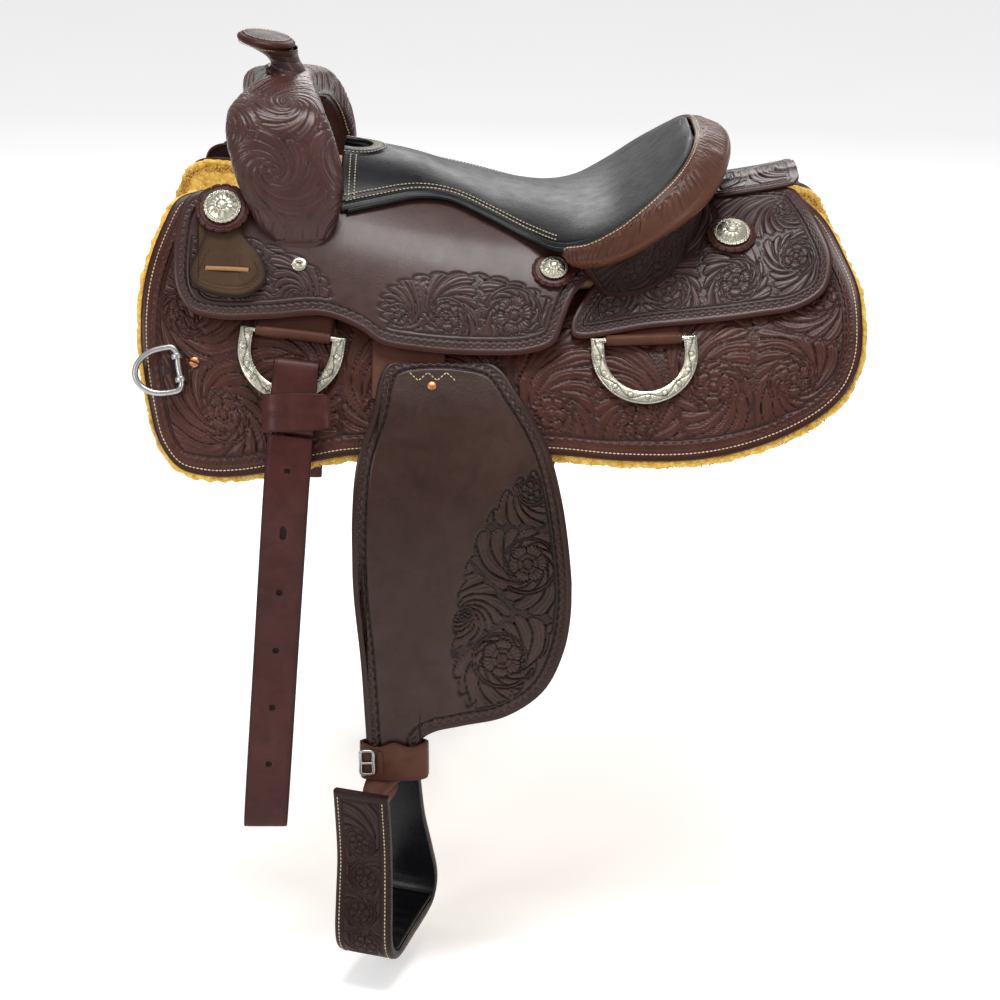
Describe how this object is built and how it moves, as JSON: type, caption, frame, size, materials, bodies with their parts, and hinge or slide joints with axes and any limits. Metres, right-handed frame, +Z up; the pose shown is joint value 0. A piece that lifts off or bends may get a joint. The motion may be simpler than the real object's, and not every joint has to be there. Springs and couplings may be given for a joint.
{
  "type": "western saddle",
  "caption": "Western riding saddle with horn, swell, padded seat, cantle, tooled skirts on fleece, rigging dees, latigo, fenders and stirrups.",
  "frame": {"origin": "on the centre plane, midway along the skirts, at the reference level of the seat, about 12 mm above the ridge of the back surface", "axes": "+X to the cantle, -Y to the near (left) side, +Z up"},
  "size_m": [0.7169, 0.674, 0.8788],
  "materials": {
    "fleece": "golden shearling pile",
    "skirt_leather": "floral-tooled, oiled",
    "wood": "plain sawn",
    "jockey_leather": "part plain and part floral-tooled",
    "rig_leather": "plain, smooth",
    "silver": "engraved, polished",
    "steel": "satin",
    "keeper_leather": "plain, matt",
    "latigo_leather": "smooth, waxed",
    "fender_leather": "part plain and part floral-tooled",
    "seat_leather": "smooth, padded, semi-gloss",
    "cantle_leather": "tooled, semi-gloss"
  },
  "bodies": {
    "saddle": {"fleece_near": "fleece", "fleece_off": "fleece", "skirt_near": "skirt_leather", "skirt_off": "skirt_leather", "tree_bar_near": "wood", "tree_bar_off": "wood", "seat_jockey_near": "jockey_leather", "seat_jockey_off": "jockey_leather", "rear_jockey_near": "jockey_leather", "rear_jockey_off": "jockey_leather", "front_chape_near": "rig_leather", "front_chape_off": "rig_leather", "rear_chape_near": "rig_leather", "rear_chape_off": "rig_leather", "breast_dee_plate_near": "steel", "breast_dee_plate_off": "steel", "front_concho_near": "silver", "front_concho_off": "silver", "seat_concho_near": "silver", "seat_concho_off": "silver", "rear_concho_near": "silver", "rear_concho_off": "silver", "tree_fork": "wood", "swell_cover": "jockey_leather", "horn_core": "steel", "horn_wrap": "jockey_leather", "horn_cap": "jockey_leather", "ground_seat": "rig_leather", "seat": "seat_leather", "cantle_core": "wood", "cantle_back": "jockey_leather", "cantle_binding": "cantle_leather", "rear_connector": "jockey_leather"},
    "front_dee_near": {"front_dee_near": "silver", "latigo_loop": "latigo_leather"},
    "rear_dee_near": {"rear_dee_near": "silver"},
    "breast_dee_near": {"breast_dee_near": "steel"},
    "keeper_near": {"keeper_near": "keeper_leather"},
    "stirrup_leather_near": {"stirrup_leather_near": "rig_leather"},
    "fender_near": {"fender_near": "fender_leather", "stirrup_strap_near": "rig_leather", "hobble_near": "rig_leather"},
    "stirrup_near": {"stirrup_near": "fender_leather", "stirrup_tread_near": "seat_leather", "stirrup_bolt_near": "steel"},
    "front_dee_off": {"front_dee_off": "silver", "billet_loop": "latigo_leather"},
    "rear_dee_off": {"rear_dee_off": "silver"},
    "breast_dee_off": {"breast_dee_off": "steel"},
    "keeper_off": {"keeper_off": "keeper_leather"},
    "stirrup_leather_off": {"stirrup_leather_off": "rig_leather"},
    "fender_off": {"fender_off": "fender_leather", "stirrup_strap_off": "rig_leather", "hobble_off": "rig_leather"},
    "stirrup_off": {"stirrup_off": "fender_leather", "stirrup_tread_off": "seat_leather", "stirrup_bolt_off": "steel"},
    "latigo": {"latigo": "latigo_leather"},
    "off_billet": {"off_billet": "latigo_leather"}
  },
  "joints": [
    {"name": "front_dee_turn_near", "type": "hinge", "parent": "saddle", "child": "front_dee_near", "pos_m": [-0.202, -0.17461, -0.08936], "axis": [-0.9914, 0.0733, 0.1085], "range_deg": [0, 60]},
    {"name": "rear_dee_turn_near", "type": "hinge", "parent": "saddle", "child": "rear_dee_near", "pos_m": [0.1405, -0.17738, -0.09388], "axis": [-0.9994, -0.0236, -0.0246], "range_deg": [0, 75]},
    {"name": "breast_dee_turn_near", "type": "hinge", "parent": "saddle", "child": "breast_dee_near", "pos_m": [-0.314, -0.18492, -0.12056], "axis": [-0.1743, 0.3944, 0.9023], "range_deg": [0, 70]},
    {"name": "keeper_turn_near", "type": "hinge", "parent": "saddle", "child": "keeper_near", "pos_m": [-0.2715, -0.12166, 0.02037], "axis": [0, -0.7477, 0.6641], "range_deg": [-5, 5]},
    {"name": "fender_lift_near", "type": "hinge", "parent": "saddle", "child": "stirrup_leather_near", "pos_m": [-0.084, -0.18549, -0.11311], "axis": [-0.9916, 0.0773, 0.1035], "range_deg": [0, 45]},
    {"name": "fender_swing_near", "type": "hinge", "parent": "stirrup_leather_near", "child": "fender_near", "pos_m": [-0.084, -0.18549, -0.11311], "axis": [0, 0.8829, -0.4695], "range_deg": [-13, 11]},
    {"name": "stirrup_turn_near", "type": "hinge", "parent": "fender_near", "child": "stirrup_near", "pos_m": [-0.121, -0.282, -0.538], "axis": [0.3387, 0.9305, 0.1392], "range_deg": [-45, 45]},
    {"name": "front_dee_turn_off", "type": "hinge", "parent": "saddle", "child": "front_dee_off", "pos_m": [-0.202, 0.17461, -0.08936], "axis": [0.9914, 0.0733, -0.1085], "range_deg": [0, 60]},
    {"name": "rear_dee_turn_off", "type": "hinge", "parent": "saddle", "child": "rear_dee_off", "pos_m": [0.1405, 0.17738, -0.09388], "axis": [0.9994, -0.0236, 0.0246], "range_deg": [0, 75]},
    {"name": "breast_dee_turn_off", "type": "hinge", "parent": "saddle", "child": "breast_dee_off", "pos_m": [-0.314, 0.18492, -0.12056], "axis": [0.1743, 0.3944, -0.9023], "range_deg": [0, 70]},
    {"name": "keeper_turn_off", "type": "hinge", "parent": "saddle", "child": "keeper_off", "pos_m": [-0.2715, 0.12166, 0.02037], "axis": [0, -0.7477, -0.6641], "range_deg": [-5, 5]},
    {"name": "fender_lift_off", "type": "hinge", "parent": "saddle", "child": "stirrup_leather_off", "pos_m": [-0.084, 0.18549, -0.11311], "axis": [0.9916, 0.0773, -0.1035], "range_deg": [0, 45]},
    {"name": "fender_swing_off", "type": "hinge", "parent": "stirrup_leather_off", "child": "fender_off", "pos_m": [-0.084, 0.18549, -0.11311], "axis": [0, 0.8829, 0.4695], "range_deg": [-13, 11]},
    {"name": "stirrup_turn_off", "type": "hinge", "parent": "fender_off", "child": "stirrup_off", "pos_m": [-0.121, 0.282, -0.538], "axis": [-0.3387, 0.9305, -0.1392], "range_deg": [-45, 45]},
    {"name": "latigo_lift", "type": "hinge", "parent": "front_dee_near", "child": "latigo", "pos_m": [-0.204, -0.23307, -0.17288], "axis": [-0.9914, 0.0733, 0.1085], "range_deg": [0, 60]},
    {"name": "billet_lift", "type": "hinge", "parent": "front_dee_off", "child": "off_billet", "pos_m": [-0.204, 0.23307, -0.17288], "axis": [0.9914, 0.0733, -0.1085], "range_deg": [0, 60]}
  ]
}
